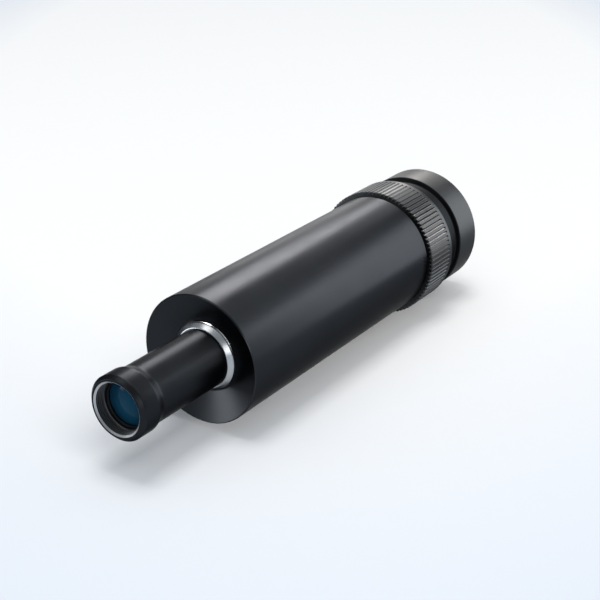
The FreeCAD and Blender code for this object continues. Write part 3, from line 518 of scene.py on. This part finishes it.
worked(nose, thread_tree, {
    "Around": NOSE_AROUND, "Base Radius": FILTER_CREST * MM, "Depth": (FILTER_ROOT - FILTER_CREST) * MM,
    "Pitch": FILTER_PITCH * MM, "From": THREAD_FOOT * MM, "To": THREAD_TOP * MM, "Inside": True,
    "Finish": recess_painted_light_finish,
})
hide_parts("nose_tube")
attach(nose, "nose")


# Front glass
# Cemented crown and flint, a spacer and a third lens, held by a black threaded ring.
# The coating makes the front surface a deep blue with hardly a reflection; the rest is clear glass.
dress("objective_crown", coated_glass("Coated front crown glass", "12394E", "184058", 1.6, clear=0.05))
clear_finish = coated_glass("Clear coated glass", "E6F0F2", "3A6A80", 1.6)
for lens in ("objective_flint", "objective_singlet", "rear_singlet", "rear_crown", "rear_flint"):
    dress(lens, clear_finish)
dress("front_retaining_ring", inside_finish)
dress("objective_spacer", inside_finish)


# Lens carrier and its stack
# Aluminium tube inside the barrel with the stop, the spacers and the rear lenses, driven by three
# pins. Tubes and stop are a dull black, and the ground steel pins are smooth and bright.
for tube in ("lens_carrier", "stop_spacer", "rear_spacer", "rear_retaining_ring"):
    dress(tube, inside_finish)
dress("aperture_stop", anodised("Blackened brass stop", "151617", roughness=0.6))
dress("follower_pins", turned_metal("Ground steel pins", "A9ABAE", 0.25))


# Table, light and camera
# A plain pale table that touches the focus ring, soft boxes behind, above and in front of the
# lens, one more for the table alone, and a camera at the photograph's angle.
table_up = mathutils.Vector((0.78189, -0.62342, 0.0))
table_side = mathutils.Vector((0.62342, 0.78189, 0.0))
axis = mathutils.Vector((0.0, 0.0, 1.0))
middle = mathutils.Vector((0.0, 0.0, 0.065))
TABLE_DROP = RING_RADIUS * MM
TABLE_HALF = 1.6
table_mesh = bpy.data.meshes.new("table")
table_mesh.from_pydata(
    [middle - table_up * TABLE_DROP + (table_side * right + axis * up) * TABLE_HALF
     for right, up in ((-1, -1), (1, -1), (1, 1), (-1, 1))], [], [(0, 1, 2, 3)],
)
table = bpy.data.objects.new("table", table_mesh)
bpy.context.scene.collection.objects.link(table)
if table_mesh.polygons[0].normal.dot(table_up) < 0:
    table_mesh.flip_normals()

# Matt white laminate, which shows soft shadows and hardly any gloss. Its fine texture is drawn
# coarse, as flecks 4 mm wide. From below the table can be seen through.
table_finish, tree, place = new_finish("Matt white laminate")
FLECK_WIDTH = 4 * MM
paper = add(tree, "ShaderNodeTexNoise", {"Vector": place, "Scale": 1 / FLECK_WIDTH, "Detail": 4.0})
tone = add(tree, "ShaderNodeMix", {"Factor": paper, "A": linear("F9F9F9"), "B": linear("FBFBFB")},
           data_type="RGBA")

# A pool of light painted into the table's colour runs under the lens and away behind it, then fades to a
# cool grey.
LIGHT_POOL_ASIDE, LIGHT_POOL_BACK = 0.561, 0.828
away = table_side * LIGHT_POOL_ASIDE - axis * LIGHT_POOL_BACK
beside_it = table_side * LIGHT_POOL_BACK + axis * LIGHT_POOL_ASIDE
LIGHT_POOL_MIDDLE, LIGHT_POOL_LENGTH, LIGHT_POOL_WIDTH = 300 * MM, 480 * MM, 230 * MM
from_light_pool = add(tree, "ShaderNodeVectorMath", (place, middle + away * LIGHT_POOL_MIDDLE), operation="SUBTRACT")
long_way = add(tree, "ShaderNodeVectorMath", (from_light_pool, away / LIGHT_POOL_LENGTH), operation="DOT_PRODUCT")
short_way = add(tree, "ShaderNodeVectorMath", (from_light_pool, beside_it / LIGHT_POOL_WIDTH), operation="DOT_PRODUCT")
reach = add(tree, "ShaderNodeCombineXYZ", (long_way.outputs["Value"], short_way.outputs["Value"]))
reach = add(tree, "ShaderNodeVectorMath", (reach,), operation="LENGTH").outputs["Value"]
painted_light_fade = add(tree, "ShaderNodeMapRange", {"Value": reach, "From Min": 0.6, "From Max": 0.98})
tone = add(tree, "ShaderNodeMix", {"Factor": painted_light_fade, "A": tone.outputs[2], "B": linear("D4DEEC")},
           data_type="RGBA")
top = add(tree, "ShaderNodeBsdfPrincipled", {
    "Base Color": tone.outputs[2], "Roughness": 0.7, "Specular IOR Level": 0.2,
})
under = add(tree, "ShaderNodeBsdfTransparent")
facing = add(tree, "ShaderNodeNewGeometry").outputs["Backfacing"]
both = add(tree, "ShaderNodeMixShader", (facing, top, under))
add(tree, "ShaderNodeOutputMaterial", {"Surface": both})
table_mesh.materials.append(table_finish)


def soft_box(name, turn, rise, distance, width, height, radiance, shade="FFFDFA"):
    """An area light that faces the lens, with angles in degrees and sizes in metres.

    Turn is from the nose's direction round to the table's side, rise is over the table.
    """
    turn, rise = math.radians(turn), math.radians(rise)
    way = (axis * math.cos(turn) + table_side * math.sin(turn)) * math.cos(rise) + table_up * math.sin(rise)
    light = bpy.data.lights.new(name, "AREA")
    light.shape = "RECTANGLE"
    light.size = width
    light.size_y = height
    light.energy = radiance * math.pi * width * height
    light.color = linear(shade)[:3]
    lamp = bpy.data.objects.new(name, light)
    back = way.normalized()
    right = table_up.cross(back).normalized()
    upward = back.cross(right)
    turned = mathutils.Matrix((right, upward, back)).transposed().to_4x4()
    lamp.matrix_world = mathutils.Matrix.Translation(middle + back * distance) @ turned
    bpy.context.scene.collection.objects.link(lamp)
    return lamp


# Name, turn, rise, distance, width, height and radiance. The first two have a warmer shade.
left_box = soft_box("left_soft_box", 149, 32, 1.2, 0.37, 0.44, 27.0, "FFF4EA")
rear_left_box = soft_box("rear_left_soft_box", 165, 26, 0.6, 0.22, 0.24, 6.0, "FFF4EA")
low_left_box = soft_box("low_left_soft_box", 140, 9, 1.2, 0.3, 0.4, 4.5)
right_box = soft_box("right_soft_box", -151, 11, 0.36, 0.2, 0.24, 5.0)
high_right_box = soft_box("high_right_soft_box", -158, 40, 0.6, 0.4, 0.3, 0.9)
soft_box("top_soft_box", 0, 89, 1.8, 0.7, 0.7, 6.9)
bush_box = soft_box("bush_soft_box", 32, 49, 1.2, 0.4, 0.4, 3.0)
front_box = soft_box("front_soft_box", -46, 15, 1.2, 0.4, 0.4, 3.4)
low_box = soft_box("low_soft_box", 52, -1, 1.2, 0.5, 0.4, 6.0)
table_box = soft_box("table_soft_box", -60, 45, 3.0, 2.0, 1.6, 4.1)

# Most boxes draw the highlights only: the table stays under the top light and a box of its own on
# the camera's side. Barrel, ring, mount and table don't hide the rear, low and table boxes, so the
# nose and the bush keep their highlights, and only the top light draws the barrel's shadow.
unlit = bpy.data.collections.new("Not lit by the highlight boxes")
unlit.objects.link(table)
clear = bpy.data.collections.new("Not in the way of the rear, low and table boxes")
for thing in (nodes["main_barrel"], nodes["front_glide_washer"], knurled_ring, mount, table):
    clear.objects.link(thing)
for group in (unlit, clear):
    for entry in group.collection_objects:
        entry.light_linking.link_state = "EXCLUDE"
for box in (left_box, rear_left_box, low_left_box, right_box, high_right_box, low_box):
    box.light_linking.receiver_collection = unlit
    box.light_linking.blocker_collection = clear
for box in (bush_box, front_box):
    box.light_linking.receiver_collection = unlit

table_only = bpy.data.collections.new("Lit by the table box")
table_only.objects.link(table)
table_box.light_linking.receiver_collection = table_only
table_box.light_linking.blocker_collection = clear

# Grey walls and a paler ceiling, which the black metal mirrors softly.
world = bpy.data.worlds.new("Pale room")
bpy.context.scene.world = world
world.use_nodes = True
tree = world.node_tree
tree.nodes.clear()
way = add(tree, "ShaderNodeTexCoord").outputs["Generated"]
rise = add(tree, "ShaderNodeVectorMath", (way, table_up), operation="DOT_PRODUCT").outputs["Value"]
CEILING_STARTS, CEILING_FULL = math.sin(math.radians(44)), math.sin(math.radians(58))
ceiling = add(tree, "ShaderNodeMapRange", {
    "Value": rise, "From Min": CEILING_STARTS, "From Max": CEILING_FULL,
})
shade = add(tree, "ShaderNodeMix", {"Factor": ceiling, "A": linear("A2A8AE"), "B": linear("D2D6DA")},
            data_type="RGBA")
room = add(tree, "ShaderNodeBackground", {"Color": shade.outputs[2], "Strength": 1.0})
add(tree, "ShaderNodeOutputWorld", {"Surface": room})
bpy.context.scene.view_settings.view_transform = "Standard"

# The photograph's camera: a narrow view from above the nose.
forward = mathutils.Vector((-0.00057, 0.65477, -0.75583))
upward = mathutils.Vector((0.85641, -0.38988, -0.33840))
right = forward.cross(upward).normalized()
upward = right.cross(forward).normalized()
view = mathutils.Matrix((right, upward, -forward.normalized())).transposed().to_4x4()
eye = bpy.data.cameras.new("camera")
eye.sensor_width = 36.0
eye.lens = 77.76
eye.clip_start = 0.01
camera = bpy.data.objects.new("camera", eye)
stand = mathutils.Matrix.Translation((0.0, -0.2009, 0.2961))
camera.matrix_world = stand @ view
bpy.context.scene.collection.objects.link(camera)
bpy.context.scene.camera = camera
